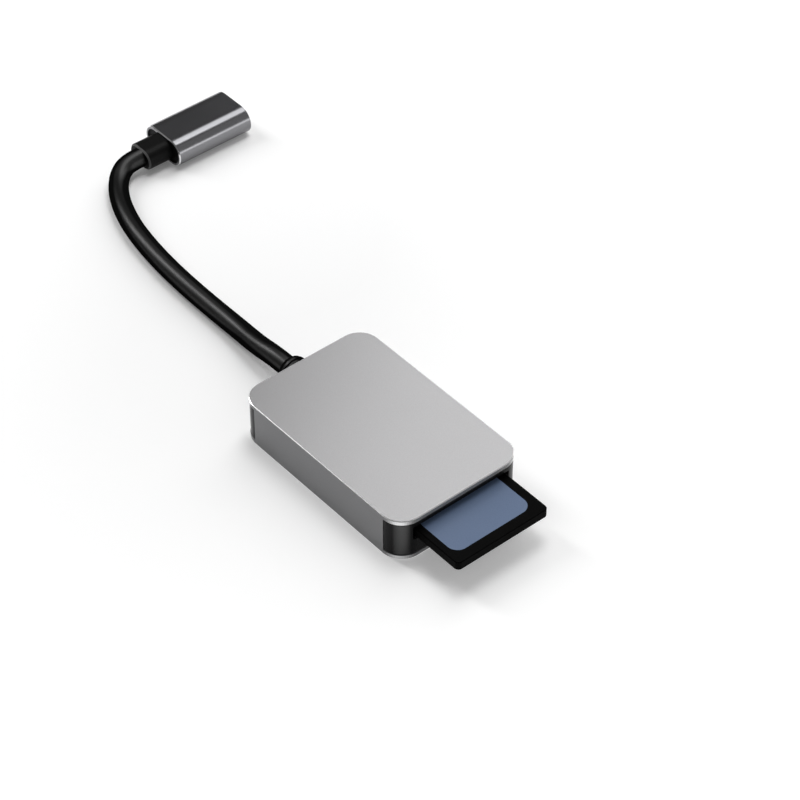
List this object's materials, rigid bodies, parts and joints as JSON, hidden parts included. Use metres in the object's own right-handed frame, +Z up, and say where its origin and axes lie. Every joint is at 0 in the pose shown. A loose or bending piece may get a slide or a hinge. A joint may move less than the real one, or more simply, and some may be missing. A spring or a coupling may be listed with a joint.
{
  "type": "usb memory card reader",
  "caption": "Flat aluminium card reader with black ends, a memory card part way into its front slot, and a short captive cable that ends in a dark connector with an oval socket.",
  "frame": {"origin": "centre of the body's underside, on the surface that the reader lies on", "axes": "+Z up; +Y from the card slot to the cable's exit; +X across the body, towards the side where the connector lies"},
  "size_m": [0.064, 0.1552, 0.0106],
  "materials": {
    "silver_aluminium": "fine blasted and anodised, with bright cut edges",
    "grey_aluminium": "dark grey anodised",
    "black_plastic": "gloss black moulding",
    "cable_jacket": "satin black jacket",
    "card_plastic": "fine matt black moulding",
    "label_film": "satin slate-blue film",
    "slider_plastic": "light grey moulding",
    "gold_contacts": "gold plated",
    "steel": "bright stamped sheet",
    "board": "green solder mask",
    "socket_moulding": "black heat-proof moulding",
    "chip_moulding": "matt black moulding",
    "ferrite": "dark grey ferrite",
    "ceramic": "tan ceramic",
    "wire_insulation": "smooth insulation"
  },
  "bodies": {
    "root": {"body_shell": "silver_aluminium", "front_bezel": "black_plastic", "rear_cap": "black_plastic", "circuit_board": "board", "card_socket_base": "socket_moulding", "card_socket_cover": "steel", "card_contacts_data_row": "gold_contacts", "card_contacts_fast_row": "gold_contacts", "card_detect_leaf": "gold_contacts", "controller_chip": "chip_moulding", "inductor": "ferrite", "regulator_chip": "chip_moulding", "crystal": "steel", "capacitors": "ceramic", "resistors": "chip_moulding", "lead_wires": "wire_insulation", "cable_collar": "cable_jacket", "cable": "cable_jacket", "strain_relief": "cable_jacket", "connector_shell": "grey_aluminium", "connector_face": "black_plastic", "receptacle_shell": "steel", "receptacle_tongue": "socket_moulding", "receptacle_contacts": "gold_contacts", "connector_board": "board", "connector_leads": "wire_insulation", "memory_card": "card_plastic", "card_label": "label_film", "card_pads": "gold_contacts", "write_protect_tab": "slider_plastic"}
  },
  "joints": []
}
